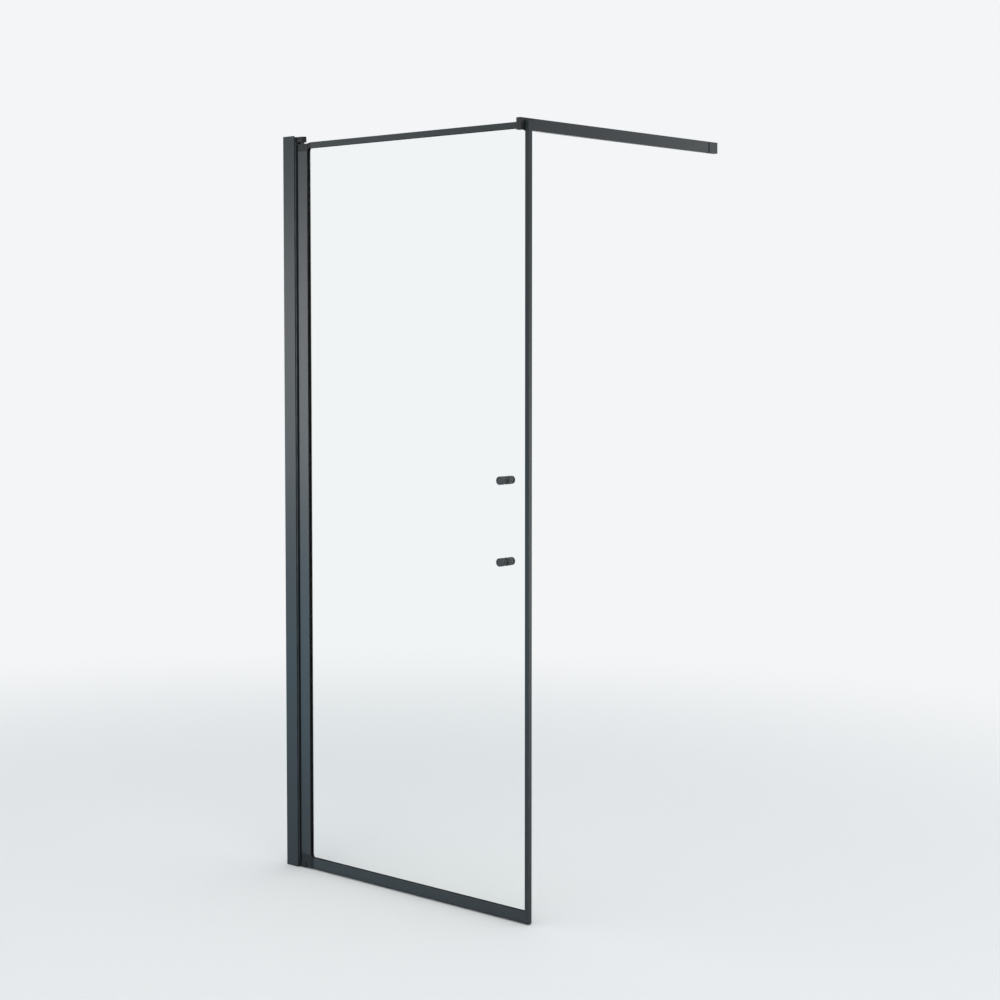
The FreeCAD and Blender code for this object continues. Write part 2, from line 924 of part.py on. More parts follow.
def spigot_outline(inset=0.0):
    """Section of both spigots that enter the tube, or with an inset a hollow in one."""
    reach = spigot_half - inset
    return rectangle(arm_mid - reach, arm_mid + reach, spigot_low + inset, spigot_high - inset)


def arm_screw_shape(play=0.0):
    place = (arm_mid, jaw_back + spigot_length / 2, arm_bottom)
    return countersunk(arm_head_radius, arm_screw_radius, arm_screw_length, place, UP, play)


def set_screw(radius, length, origin, direction):
    """A headless screw from its key end."""
    return drill(radius, length, origin, direction).cut(key_socket(radius, origin, direction))


def clamp_screw_places(depth):
    """Where the two screws of the front jaw start, at a depth under its face."""
    levels = [clamp_screw_mid - clamp_screw_spread / 2, clamp_screw_mid + clamp_screw_spread / 2]
    return [(arm_mid, depth - jaw_back, level) for level in levels]


def clamp_screws():
    length = jaw_thick - clamp_screw_sink
    places = clamp_screw_places(clamp_screw_sink)
    return group([set_screw(clamp_screw_radius, length, place, INTO_SHOWER) for place in places])


def arm_saddle():
    """Cast clamp: two jaws and a roof over the top rail, and a spigot that enters the tube."""
    body = extrude("y", -jaw_back, jaw_back, arm_outline)
    body = body.cut(block(arm_back, arm_front, -slot_half, slot_half, arm_bottom, saddle_roof))
    face_edges = [edge for edge in body.Edges if abs(edge.BoundBox.YMax + jaw_back) < 1e-6]
    body = body.makeFillet(arm_edge / 2, face_edges)
    spigot = extrude("y", jaw_back, jaw_back + spigot_length, spigot_outline())
    body = body.fuse(spigot).removeSplitter()
    body = body.cut(arm_screw_shape(press_fit))
    for place in clamp_screw_places(0):
        body = body.cut(drill(clamp_screw_radius + press_fit, jaw_thick, place, INTO_SHOWER))
    return body


def clamp_liner():
    """Soft U that lies on the rail and takes the pressure of the jaws."""
    outside = slot_half - seat_gap
    inside = frame_half + seat_gap
    low = arm_bottom + liner_drop
    roof = panel_top + seat_gap
    outline = [
        (-outside, low),
        (-inside, low),
        (-inside, roof),
        (inside, roof),
        (inside, low),
        (outside, low),
        (outside, roof + liner_top),
        (-outside, roof + liner_top),
    ]
    return extrude("x", arm_back + liner_drop, arm_front - liner_drop, outline)


reach_screw_place = (arm_mid, tube_end - reach_screw_setback, arm_bottom)


def reach_screw():
    """Set screw in the underside of the tube that bears on the spigot of the wall fitting."""
    return set_screw(reach_screw_radius, arm_wall, reach_screw_place, UP)


def arm_tube():
    """Flat rectangular tube from the saddle to the wall fitting."""
    bore = rectangle(
        arm_back + arm_wall, arm_front - arm_wall, arm_bottom + arm_wall, arm_top - arm_wall
    )
    body = extrude("y", jaw_back, tube_end, arm_outline, bore)
    body = body.cut(arm_screw_shape(press_fit))
    return body.cut(drill(reach_screw_radius + press_fit, arm_wall, reach_screw_place, UP))


def arm_wall_fitting():
    """End piece flush with the tube; its wall screw is reached through the hollow spigot."""
    tip = fitting_shoulder - fitting_spigot
    floor = arm_reach - fitting_base
    body = extrude("y", fitting_shoulder, arm_reach, arm_outline)
    body = body.fuse(extrude("y", tip, fitting_shoulder, spigot_outline())).removeSplitter()
    body = body.cut(extrude("y", tip, floor, spigot_outline(fitting_wall)))
    middle = (arm_mid, floor, (arm_top + arm_bottom) / 2)
    return body.cut(drill(fitting_hole_radius, fitting_base, middle, INTO_SHOWER))


nodes = {
    "wall_channel": wall_channel(),
    "adjusting_screws": adjusting_screws(),
    "screw_caps": screw_caps(),
    "hinge_post": hinge_post(),
    "hinge_seal": hinge_seal(),
    "top_pivot_bracket": top_pivot_bracket(),
    "bottom_pivot_bracket": bottom_pivot_bracket(),
    "bracket_screws": bracket_screws(),
    "top_pivot_pin": pivot_pin(post_top + pin_seat, block_top - pin_reach, DOWN),
    "bottom_pivot_pin": pivot_pin(post_bottom - pin_seat, bush_shoulder + pin_reach, UP),
    "top_pivot_bush": pivot_bush(block_top, DOWN),
    "bottom_pivot_bush": pivot_bush(bush_shoulder, UP),
    "hinge_stile": hinge_stile(),
    "free_stile": free_stile(),
    "top_rail": top_rail(),
    "bottom_rail": bottom_rail(),
    "top_corner_block": top_corner_block(),
    "bottom_corner_block": bottom_corner_block(),
    "frame_screws": group(frame_screw_set()),
    "top_corner_key": top_corner_key(),
    "bottom_corner_key": bottom_corner_key(),
    "glass_pane": glass_pane(),
    "glazing_gaskets": glazing_gaskets(),
    "bottom_sweep": bottom_sweep(),
    "outer_knobs": knobs(INTO_ROOM),
    "inner_knobs": knobs(INTO_SHOWER),
    "knob_buffers": knob_buffers(),
    "knob_studs": knob_studs(),
    "knob_sleeves": knob_sleeves(),
    "knob_washers": knob_washers(),
    "arm_saddle": arm_saddle(),
    "clamp_liner": clamp_liner(),
    "clamp_screws": clamp_screws(),
    "arm_tube": arm_tube(),
    "arm_screw": arm_screw_shape(),
    "reach_screw": reach_screw(),
    "arm_wall_fitting": arm_wall_fitting(),
}

for name, shape in nodes.items():
    shape.exportStep("parts/" + name + ".step")
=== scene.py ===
import math

import bpy
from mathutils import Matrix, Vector


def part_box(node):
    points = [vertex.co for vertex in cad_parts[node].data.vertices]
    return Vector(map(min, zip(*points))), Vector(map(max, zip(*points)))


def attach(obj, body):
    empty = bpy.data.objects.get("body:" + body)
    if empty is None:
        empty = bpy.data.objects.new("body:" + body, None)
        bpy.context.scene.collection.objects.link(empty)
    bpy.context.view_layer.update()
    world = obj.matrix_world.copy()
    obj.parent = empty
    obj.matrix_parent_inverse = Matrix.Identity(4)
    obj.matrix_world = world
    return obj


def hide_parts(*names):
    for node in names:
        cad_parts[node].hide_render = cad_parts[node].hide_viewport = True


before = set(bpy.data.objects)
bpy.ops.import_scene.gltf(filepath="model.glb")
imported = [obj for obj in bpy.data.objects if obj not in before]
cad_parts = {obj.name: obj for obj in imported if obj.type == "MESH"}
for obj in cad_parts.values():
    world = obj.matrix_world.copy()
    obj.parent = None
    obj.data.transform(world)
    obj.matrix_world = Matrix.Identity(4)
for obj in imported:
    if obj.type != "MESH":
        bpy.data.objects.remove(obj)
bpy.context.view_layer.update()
bpy.context.scene.view_settings.view_transform = "Standard"

# Wall channel
# The U profile on the wall: extruded aluminium with a matte black powder coat, screwed to the wall through
# its web. The coat has a fine orange peel, drifts a little in tone and has a painted highlight along the long
# edges.


class Wire:
    """One socket in a tree of nodes; arithmetic on wires adds the Math nodes that work it out."""

    def __init__(self, tree, socket=None):
        self.tree = tree
        self.socket = socket

    def node(self, kind, settings, sockets, output=0):
        """Adds a node: its settings first, then the values or wires of its sockets. Gives one output."""
        made = self.tree.nodes.new(kind)
        for name, value in settings.items():
            setattr(made, name, value)
        for key, value in sockets.items():
            named = [s for s in made.inputs if s.enabled and s.name == key]
            target = made.inputs[key] if isinstance(key, int) else named[0]
            for item in value if isinstance(value, list) else [value]:
                if isinstance(item, Wire):
                    self.tree.links.new(item.socket, target)
                else:
                    target.default_value = item
        outputs = [s for s in made.outputs if s.enabled]
        named = [s for s in outputs if s.name == output]
        return Wire(self.tree, named[0] if named else outputs[output])

    def math(self, operation, *values):
        return self.node("ShaderNodeMath", {"operation": operation}, dict(enumerate(values)))

    def __add__(self, other):
        return self.math("ADD", self, other)

    def __sub__(self, other):
        return self.math("SUBTRACT", self, other)

    def __rsub__(self, other):
        return self.math("SUBTRACT", other, self)

    def __mul__(self, other):
        return self.math("MULTIPLY", self, other)

    def __truediv__(self, other):
        return self.math("DIVIDE", self, other)

    def __pow__(self, other):
        return self.math("POWER", self, other)

    __radd__ = __add__
    __rmul__ = __mul__

    def absolute(self):
        return self.math("ABSOLUTE", self)

    def larger(self, other):
        return self.math("MAXIMUM", self, other)

    def step(self, low, high):
        """0 below low, 1 above high and a soft rise between them."""
        ends = {"Value": self, "From Min": low, "From Max": high}
        return self.node("ShaderNodeMapRange", {"interpolation_type": "SMOOTHSTEP"}, ends)

    def between(self, first, second):
        """The colour that lies this far from the first colour to the second."""
        ends = [colour if isinstance(colour, Wire) else (*colour, 1) for colour in (first, second)]
        return self.node("ShaderNodeMix", {"data_type": "RGBA"}, {"Factor": self, "A": ends[0], "B": ends[1]})

    def noise(self, scale, detail=2.0):
        """Soft noise from 0 to 1 on these coordinates."""
        return self.node("ShaderNodeTexNoise", {}, {"Vector": self, "Scale": scale, "Detail": detail})

    def stretched(self, scale):
        """These coordinates, scaled along each axis."""
        return self.node("ShaderNodeMapping", {}, {"Vector": self, "Scale": scale})

    def axes(self):
        """The three numbers in these coordinates."""
        split = self.node("ShaderNodeSeparateXYZ", {}, {"Vector": self}).socket.node
        return [Wire(self.tree, socket) for socket in split.outputs]

    def vector(self, x, y, z):
        """Coordinates from three numbers."""
        return self.node("ShaderNodeCombineXYZ", {}, {"X": x, "Y": y, "Z": z})

    def bumped(self, height_m):
        """A normal from this relief, which is height_m high."""
        return self.node("ShaderNodeBump", {}, {"Height": self, "Distance": height_m})


def new_finish(name):
    """An empty material and its surface coordinates in metres."""
    material = bpy.data.materials.new(name)
    material.use_nodes = True
    place = Wire(material.node_tree).node("ShaderNodeTexCoord", {}, {}, "Object")
    return material, place


def surface(material, settings):
    """Sets the sockets of a material's main shader to values or wires."""
    shader = material.node_tree.nodes["Principled BSDF"]
    for name, value in settings.items():
        if isinstance(value, Wire):
            material.node_tree.links.new(value.socket, shader.inputs[name])
        else:
            shader.inputs[name].default_value = value


def dress(material, *names):
    """Gives CAD nodes one material."""
    for name in names:
        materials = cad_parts[name].data.materials
        materials.clear()
        materials.append(material)


def edge_band(place, node, reach):
    """1 on the long outer edges of a profile, falling to 0 at a distance on its faces."""
    low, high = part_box(node)
    size = high - low
    long_axis = max(range(3), key=lambda axis: size[axis])
    across = [axis for axis in range(3) if axis != long_axis]
    middle = (low + high) / 2
    numbers = place.axes()
    depths = [size[axis] / 2 - (numbers[axis] - middle[axis]).absolute() for axis in across]
    return 1 - depths[0].larger(depths[1]).step(0, reach)


def powder_coat(node, gloss=0.28):
    """Matte black powder coat on an extruded profile, with a painted highlight along its own edges."""
    coat_dark = (0.014, 0.0185, 0.0215)
    coat_pale = (0.022, 0.0275, 0.031)
    coat_painted_highlight = (0.070, 0.075, 0.079)
    painted_highlight_reach = 0.0012
    material, place = new_finish("powder_coat_" + node)
    drift = place.noise(2.6, 4)
    peel = place.noise(700)
    grain = place.noise(2600)
    # The lighter band along the long edges, broken up by noise, is a painted edge highlight.
    painted_edge_highlight = edge_band(place, node, painted_highlight_reach) * place.noise(38, 3).step(0.42, 0.62)
    tone = (drift * 0.7 + grain * 0.3).between(coat_dark, coat_pale)
    surface(
        material,
        {
            "Base Color": (painted_edge_highlight * 0.6).between(tone, coat_painted_highlight),
            "Roughness": 0.43 + drift * 0.07 + grain * 0.06 - painted_edge_highlight * 0.1,
            "Normal": (peel * 0.7 + grain * 0.3).bumped(0.00008),
            "Specular IOR Level": gloss,
        },
    )
    return material


dress(powder_coat("wall_channel", 0.23), "wall_channel")

# Lock screws and their caps
# Three blackened steel screws through the inner side of the channel hold the post where it is set. A moulded
# plastic cap snaps over each head.


def blackened_steel():
    """Oxidised screw steel, slightly streaky from the bath and rubbed where the key goes in."""
    material, place = new_finish("blackened_steel")
    bath = place.noise(420, 4)
    rubbed = place.noise(150).step(0.55, 0.75)
    surface(
        material,
        {
            "Base Color": (bath * 0.6 + rubbed * 0.4).between((0.028, 0.028, 0.030), (0.085, 0.085, 0.088)),
            "Metallic": 0.55 + rubbed * 0.3,
            "Roughness": 0.38 + bath * 0.16,
            "Normal": bath.bumped(0.00001),
        },
    )
    return material


def moulded_plastic(name, dark, pale):
    """Matte moulded plastic with a fine spark-eroded grain."""
    material, place = new_finish(name)
    grain = place.noise(1600, 3)
    cloud = place.noise(45)
    surface(
        material,
        {
            "Base Color": (cloud * 0.5 + grain * 0.5).between(dark, pale),
            "Roughness": 0.5 + grain * 0.14,
            "Normal": grain.bumped(0.000015),
        },
    )
    return material


screw_finish = blackened_steel()
plastic_finish = moulded_plastic("black_plastic", (0.020, 0.021, 0.022), (0.032, 0.033, 0.035))
dress(screw_finish, "adjusting_screws")
dress(plastic_finish, "screw_caps")

# Hinge post
# The extruded profile that slides in the channel and carries both pivots. It has the same coat, which stays
# clean because the channel covers most of it.

dress(powder_coat("hinge_post"), "hinge_post")

# Post seal
# A soft extruded strip in the groove in the face of the post, with a round bulb in the middle. A thin lip on
# the shower side reaches to the back of the hinge stile and keeps the water in.


def rubber(name):
    """Matte black rubber with a dusty bloom."""
    material, place = new_finish(name)
    bloom = place.noise(60, 4)
    skin = place.noise(2200)
    surface(
        material,
        {
            "Base Color": (bloom * 0.7 + skin * 0.3).between((0.004, 0.004, 0.0045), (0.010, 0.010, 0.011)),
            "Roughness": 0.62 + bloom * 0.2,
            "Normal": skin.bumped(0.00001),
            "Specular IOR Level": 0.15,
        },
    )
    return material


def grown(name, sizes, shape, finish):
    """A plain mesh from Geometry Nodes: shape takes a wire for each named size and gives the geometry."""
    tree = bpy.data.node_groups.new(name, "GeometryNodeTree")
    tree.interface.new_socket("Geometry", in_out="OUTPUT", socket_type="NodeSocketGeometry")
    number = {"in_out": "INPUT", "socket_type": "NodeSocketFloat"}
    sockets = [tree.interface.new_socket(size, **number) for size in sizes]
    entry = tree.nodes.new("NodeGroupInput")
    made = shape(*[Wire(tree, entry.outputs[size]) for size in sizes])
    real = made.node("GeometryNodeRealizeInstances", {}, {"Geometry": made})
    dressed = real.node("GeometryNodeSetMaterial", {}, {"Geometry": real, "Material": finish})
    tree.links.new(dressed.socket, tree.nodes.new("NodeGroupOutput").inputs[0])
    piece = bpy.data.objects.new(name, bpy.data.meshes.new(name))
    bpy.context.scene.collection.objects.link(piece)
    modifier = piece.modifiers.new(name, "NODES")
    modifier.node_group = tree
    for socket, size in zip(sockets, sizes.values()):
        modifier[socket.identifier] = size
    evaluated = piece.evaluated_get(bpy.context.evaluated_depsgraph_get())
    mesh = bpy.data.meshes.new_from_object(evaluated)
    piece.modifiers.remove(modifier)
    piece.data = mesh
    return piece


def bar(wire, width, height, across, up, rounding):
    """Rounded rectangle of a strip's section, with its middle at (across, up)."""
    sides = wire.node("GeometryNodeCurvePrimitiveQuadrilateral", {}, {"Width": width, "Height": height})
    soft = {"Curve": sides, "Radius": rounding, "Limit Radius": True, "Count": 3}
    rounded = wire.node("GeometryNodeFilletCurve", {"mode": "POLY"}, soft)
    moved = {"Geometry": rounded, "Translation": wire.vector(across, up, 0)}
    return wire.node("GeometryNodeTransform", {}, moved)


def together(parts):
    """Several geometries as one."""
    return parts[0].node("GeometryNodeJoinGeometry", {}, {"Geometry": parts})


def swept(start, end, section):
    """A section run straight along a path. Along Z its axes are X and Y; along X they are -Y and -Z."""
    path = section.node("GeometryNodeCurvePrimitiveLine", {}, {"Start": start, "End": end})
    run = {"Curve": path, "Profile Curve": section, "Fill Caps": True}
    return section.node("GeometryNodeCurveToMesh", {}, run)


seal_low, seal_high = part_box("hinge_seal")
post_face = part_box("hinge_post")[1].x
stile_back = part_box("hinge_stile")[0].x
seal_path = [(post_face, 0, z) for z in (seal_low.z, seal_high.z)]
soft_edge = 0.0003
fine_edge = 0.0002
wing_lift = 0.00005


def seal_shape(foot_width, foot_depth, bulb_rise, bulb_width, lip_place, lip_reach, lip_thick):
    foot = bar(foot_width, foot_depth, foot_width, foot_depth / -2, 0, fine_edge)
    ring = foot.node("GeometryNodeCurvePrimitiveCircle", {}, {"Resolution": 20, "Radius": 1.0})
    flat = {"Geometry": ring, "Scale": foot.vector(bulb_rise, bulb_width / 2, 1)}
    bulb = foot.node("GeometryNodeTransform", {}, flat)
    wing = bar(foot_width, lip_thick, lip_place, lip_thick / 2 + wing_lift, lip_place / 2, fine_edge)
    lip_middle = (lip_reach + wing_lift) / 2
    lip = bar(foot_width, lip_reach - wing_lift, lip_thick, lip_middle, lip_place, fine_edge)
    return swept(*seal_path, together([foot, bulb, wing, lip]))


rubber_finish = rubber("black_rubber")
seal_sizes = {
    "Foot Width": seal_high.y - seal_low.y,
    "Foot Depth": post_face - seal_low.x,
    "Bulb Rise": seal_high.x - post_face,
    "Bulb Width": 0.0028,
    "Lip Place": 0.0052,
    "Lip Reach": stile_back - post_face,
    "Lip Thickness": 0.0005,
}
post_seal = grown("post_seal", seal_sizes, seal_shape, rubber_finish)
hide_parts("hinge_seal")
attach(post_seal, "hinge_post")

# Pivot brackets
# Two castings screwed to the ends of the post, each with an arm that holds a pivot pin. The coat on castings
# is darker than on the profiles and has a pebbled skin.


def casting_coat(name, gloss):
    """Matte black coat on a casting, with a soft pebbled skin."""
    coat_dark = (0.009, 0.010, 0.0115)
    coat_pale = (0.015, 0.0165, 0.018)
    material, place = new_finish(name)
    pebble = place.noise(520, 3)
    drift = place.noise(22, 3)
    surface(
        material,
        {
            "Base Color": (drift * 0.6 + pebble * 0.4).between(coat_dark, coat_pale),
            "Roughness": 0.48 + pebble * 0.1,
            "Normal": pebble.bumped(0.00012),
            "Specular IOR Level": gloss,
        },
    )
    return material


casting_finish = casting_coat("casting_coat", 0.18)
dress(casting_finish, "top_pivot_bracket", "bottom_pivot_bracket")
dress(screw_finish, "bracket_screws")

# Pivots
# Ground steel pins with a black oxide skin, pressed into the brackets, turn in flanged plastic bushes. The
# pins keep the fine rings of the grinding wheel.


def oxide_steel():
    """Black oxide on ground steel, with grinding rings square to the pin."""
    material, place = new_finish("oxide_steel")
    rings = place.stretched((6, 6, 9000)).noise(1, 3)
    surface(
        material,
        {
            "Base Color": rings.between((0.022, 0.022, 0.023), (0.050, 0.050, 0.052)),
            "Metallic": 0.45,
            "Roughness": 0.30 + rings * 0.16,
            "Normal": rings.bumped(0.000004),
        },
    )
    return material


pin_finish = oxide_steel()
dress(pin_finish, "top_pivot_pin", "bottom_pivot_pin")
dress(plastic_finish, "top_pivot_bush", "bottom_pivot_bush")

# Frame of the panel
# Four coated aluminium profiles round the glass. The two free corners are mitred over keys of bare aluminium,
# and four screws hold the corner blocks in the hinge stile.


def mill_aluminium():
    """Bare extruded aluminium with lines along the press."""
    material, place = new_finish("mill_aluminium")
    lines = place.stretched((900, 900, 25)).noise(1, 3)
    surface(
        material,
        {
            "Base Color": lines.between((0.58, 0.59, 0.60), (0.72, 0.73, 0.74)),
            "Metallic": 1.0,
            "Roughness": 0.34 + lines * 0.14,
        },
    )
    return material


profile_gloss = {"hinge_stile": 0.31, "free_stile": 0.30, "top_rail": 0.26, "bottom_rail": 0.36}
for profile, gloss in profile_gloss.items():
    dress(powder_coat(profile, gloss), profile)
dress(mill_aluminium(), "top_corner_key", "bottom_corner_key")
dress(screw_finish, "frame_screws")

# Corner blocks
# Moulded corners that join the hinge stile to the rails, hold the bushes and sink in a ramp beside the top
# pin. They carry the same dark coat as the brackets.

dress(casting_finish, "top_corner_block", "bottom_corner_block")

# Glass
# One pane of clear 6 mm toughened glass with ground edges, drilled for the knobs before toughening. It
# mirrors little, and faint wipe marks show only in its gloss.


def clear_glass():
    """Clear glass with a trace of cool tint; lamps shine through it."""
    material, place = new_finish("clear_glass")
    wiped = place.stretched((3, 3, 14)).noise(1, 5)
    surface(
        material,
        {
            "Base Color": (0.975, 0.988, 0.986, 1),
            "Transmission Weight": 1.0,
            "IOR": 1.5,
            "Specular Tint": (0.5, 0.5, 0.5, 1),
            "Roughness": wiped.step(0.5, 0.8) * 0.03,
        },
    )
    nodes = material.node_tree.nodes
    lamp = place.node("ShaderNodeLightPath", {}, {}, "Is Shadow Ray")
    through = place.node("ShaderNodeBsdfTransparent", {}, {"Color": (0.93, 0.95, 0.95, 1)})
    glass = Wire(material.node_tree, nodes["Principled BSDF"].outputs["BSDF"])
    seen = place.node("ShaderNodeMixShader", {}, {0: lamp, 1: glass, 2: through})
    material.node_tree.links.new(seen.socket, nodes["Material Output"].inputs["Surface"])
    return material


dress(clear_glass(), "glass_pane")

# Glazing strips
# Four U strips of extruded rubber, one on each edge of the glass, wedge it in the grooves of the frame. Thin
# wings on them cover the inner sides of the profiles: rubber lips that also serve as painted shade in the
# grooves.

glass_low, glass_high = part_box("glass_pane")
stile_low, stile_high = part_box("hinge_stile")
free_low, free_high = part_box("free_stile")
pane_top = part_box("top_rail")[0].z
pane_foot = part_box("bottom_rail")[1].z
rail_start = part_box("top_rail")[0].x
wing_thick = 0.001
wing_squeeze = 0.94
stile_wing_inset = 0.0012
slim_wing_inset = 0.0010
strip_gap = 0.0003


def glazing_strip(upright, edge, inward, ends, wing_ends, sizes):
    """One strip on an edge of the glass; inward is the sign of its section axis towards the open pane."""
    glass, wall, rounding, depth, wing = sizes

    def part(inward_size, size_across, inward_place, place_across):
        places = [inward_place * inward, place_across]
        measures = [inward_size, size_across]
        if not upright:
            places.reverse()
            measures.reverse()
        return bar(glass, *measures, *places, rounding)

    def run(reach, parts):
        path = [(edge, 0, end) if upright else (end, 0, edge) for end in reach]
        return swept(*path, together(parts))

    sides = [(glass + wall) / 2 * face for face in (-1, 1)]
    wing_places = [(wing + glass / 2) / 2 * face for face in (-1, 1)]
    cup = [part(wall, glass + wall * 2, wall / -2, 0)]
    cup += [part(depth, wall, depth / 2, side) for side in sides]
    # The black wings are also painted shade on the inner sides of the profiles.
    wing_place = depth - wing_thick / 2
    wing_size = wing_thick * wing_squeeze
    wings = [part(wing_size, wing - glass / 2, wing_place, place) for place in wing_places]
    return [run(ends, cup), run(wing_ends, wings)]


def glazing_shape(
    glass, wall, rounding, stile_wing, slim_wing, stile_depth, free_depth, top_depth, foot_depth
):
    height = (glass_low.z, glass_high.z)
    stile_run = (stile_low.z + strip_gap, stile_high.z - strip_gap)
    free_run = (pane_foot, pane_top)
    length = (stile_high.x + wing_thick + strip_gap, free_low.x - wing_thick - strip_gap)
    rail_run = (rail_start, length[1])
    shared = (glass, wall, rounding)
    strips = glazing_strip(True, glass_low.x, 1, height, stile_run, (*shared, stile_depth, stile_wing))
    strips += glazing_strip(True, glass_high.x, -1, height, free_run, (*shared, free_depth, slim_wing))
    strips += glazing_strip(False, glass_high.z, 1, length, rail_run, (*shared, top_depth, slim_wing))
    strips += glazing_strip(False, glass_low.z, -1, length, rail_run, (*shared, foot_depth, slim_wing))
    return together(strips)


glazing_sizes = {
    "Glass": glass_high.y - glass_low.y,
    "Wall": 0.0008,
    "Rounding": soft_edge,
    "Stile Wing": stile_high.y - stile_wing_inset,
    "Slim Wing": free_high.y - slim_wing_inset,
    "Stile Depth": stile_high.x + wing_thick - glass_low.x,
    "Free Depth": glass_high.x - free_low.x + wing_thick,
    "Top Depth": glass_high.z - pane_top + wing_thick,
    "Foot Depth": pane_foot + wing_thick - glass_low.z,
}
glazing_strips = grown("glazing_strips", glazing_sizes, glazing_shape, rubber_finish)
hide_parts("glazing_gaskets")
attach(glazing_strips, "panel")

# Drip strip
# A soft extrusion along the bottom rail: a foot held in the slot of the rail, a plate under it and three thin
# fins that wipe the water back into the shower.

sweep_low, sweep_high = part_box("bottom_sweep")
rail_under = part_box("bottom_rail")[0].z
neck_height = 0.0018
neck_edge = 0.0001
foot_height = 0.0022
foot_play = 0.0004


def drip_shape(plate_width, plate_thick, fin_height, fin_spacing, fin_root, fin_tip, foot_width, neck_width):
    plate = bar(plate_width, plate_width, plate_thick, 0, plate_thick / 2, soft_edge)
    fin_sides = {"Height": fin_height, "Bottom Width": fin_root, "Top Width": fin_tip, "Offset": 0.0}
    fin = plate.node("GeometryNodeCurvePrimitiveQuadrilateral", {"mode": "TRAPEZOID"}, fin_sides)
    row = {
        "Count": 3,
        "Start Location": plate.vector(fin_spacing * -1, plate_thick + fin_height / 2, 0),
        "Offset": plate.vector(fin_spacing, 0, 0),
    }
    places = plate.node("GeometryNodeMeshLine", {}, row)
    fins = plate.node("GeometryNodeInstanceOnPoints", {}, {"Points": places, "Instance": fin})
    section = together([plate, plate.node("GeometryNodeRealizeInstances", {}, {"Geometry": fins})])
    lip = swept((sweep_low.x, 0, rail_under), (sweep_high.x, 0, rail_under), section)
    neck = bar(plate_width, neck_width, neck_height, 0, -neck_height / 2, neck_edge)
    foot_level = -neck_height - foot_height / 2
    foot = bar(plate_width, foot_width, foot_height, 0, foot_level, soft_edge)
    held = swept((rail_start, 0, rail_under), (free_low.x, 0, rail_under), together([neck, foot]))
    return together([lip, held])


drip_sizes = {
    "Plate Width": 0.0076,
    "Plate Thickness": 0.0009,
    "Fin Height": 0.0020,
    "Fin Spacing": 0.0017,
    "Fin Root": 0.0011,
    "Fin Tip": 0.0005,
    "Foot Width": sweep_high.y - sweep_low.y - foot_play,
    "Neck Width": 0.0036,
}
drip_strip = grown("drip_strip", drip_sizes, drip_shape, rubber_finish)
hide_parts("bottom_sweep")
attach(drip_strip, "panel")

# Knobs
# Two pairs of turned aluminium grips, drawn together through the glass by steel studs in plastic sleeves.
# Under the coat, the end faces and waists keep the fine rings of the lathe.

knob_low, knob_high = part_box("outer_knobs")
knob_middle = (knob_low + knob_high) / 2
knob_radius = (knob_high.x - knob_low.x) / 2
knob_spread = (knob_high.z - knob_low.z) / 2 - knob_radius


def turned_coat():
    """Dark coat over lathe rings round the axis of each knob."""
    material, place = new_finish("turned_coat")
    x, _, z = place.axes()
    offset = place.vector(x - knob_middle.x, 0, (z - knob_middle.z).absolute() - knob_spread)
    radius = place.node("ShaderNodeVectorMath", {"operation": "LENGTH"}, {0: offset}, "Value")
    rings = place.vector(radius * 2400, 0, 0).noise(1, 2)
    grain = place.noise(1400)
    surface(
        material,
        {
            "Base Color": (rings * 0.5 + grain * 0.5).between((0.031, 0.0335, 0.035), (0.048, 0.051, 0.054)),
            "Roughness": 0.40 + grain * 0.08 + rings * 0.06,
            "Normal": (rings * 0.6 + grain * 0.4).bumped(0.00004),
            "Specular IOR Level": 0.15,
        },
    )
    return material


dress(turned_coat(), "outer_knobs", "inner_knobs")
dress(pin_finish, "knob_studs")
grey_finish = moulded_plastic("grey_plastic", (0.085, 0.088, 0.092), (0.125, 0.129, 0.134))
dress(grey_finish, "knob_sleeves")

# Knob washers and buffers
# Soft grey washers keep the knobs off the glass. A moulded rubber buffer with a full round edge sits in the
# dished end of each inner knob and meets the wall when the panel is pushed too far.

washer_low, washer_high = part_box("knob_washers")
buffer_low, buffer_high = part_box("knob_buffers")
knob_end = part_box("inner_knobs")[1].y
facing_shower = (math.radians(-90), 0, 0)
washer_squeeze = 0.9
buffer_pole = 0.0005


def at_knobs(wire, depth, spread, thing):
    """One thing at each of the two knobs, at a depth from the middle of the glass."""
    ends = {
        "Count": 2,
        "Start Location": wire.vector(knob_middle.x, depth, knob_middle.z - spread),
        "Offset": wire.vector(0, 0, spread * 2),
    }
    places = wire.node("GeometryNodeMeshLine", {}, ends)
    set_out = {"Points": places, "Instance": thing, "Rotation": facing_shower}
    return wire.node("GeometryNodeInstanceOnPoints", {}, set_out)


def washer_shape(outer, inner, thick, depth, spread):
    section = bar(outer, outer - inner, thick, 0, 0, soft_edge)
    round_path = {"Resolution": 40, "Radius": (outer + inner) / 2}
    path = outer.node("GeometryNodeCurvePrimitiveCircle", {}, round_path)
    ring = outer.node("GeometryNodeCurveToMesh", {}, {"Curve": path, "Profile Curve": section})
    smooth = outer.node("GeometryNodeSetShadeSmooth", {}, {"Geometry": ring})
    return together([at_knobs(outer, depth * face, spread, smooth) for face in (-1, 1)])


def buffer_shape(radius, length, start, spread, squareness):
    ball = {"Segments": 56, "Rings": 36, "Radius": 1.0}
    shape = radius.node("GeometryNodeMeshUVSphere", {}, ball)
    x, y, z = radius.node("GeometryNodeInputPosition", {}, {}).axes()
    square = x * x + y * y
    ring = square.math("SQRT", square).larger(buffer_pole)
    out = ring ** (squareness - 1) * radius
    level = z.math("SIGN", z) * z.absolute() ** squareness
    seat = radius.vector(x * out, y * out, (level + 1) * length / 2)
    moved = radius.node("GeometryNodeSetPosition", {}, {"Geometry": shape, "Position": seat})
    smooth = radius.node("GeometryNodeSetShadeSmooth", {}, {"Geometry": moved})
    return at_knobs(radius, start, spread, smooth)


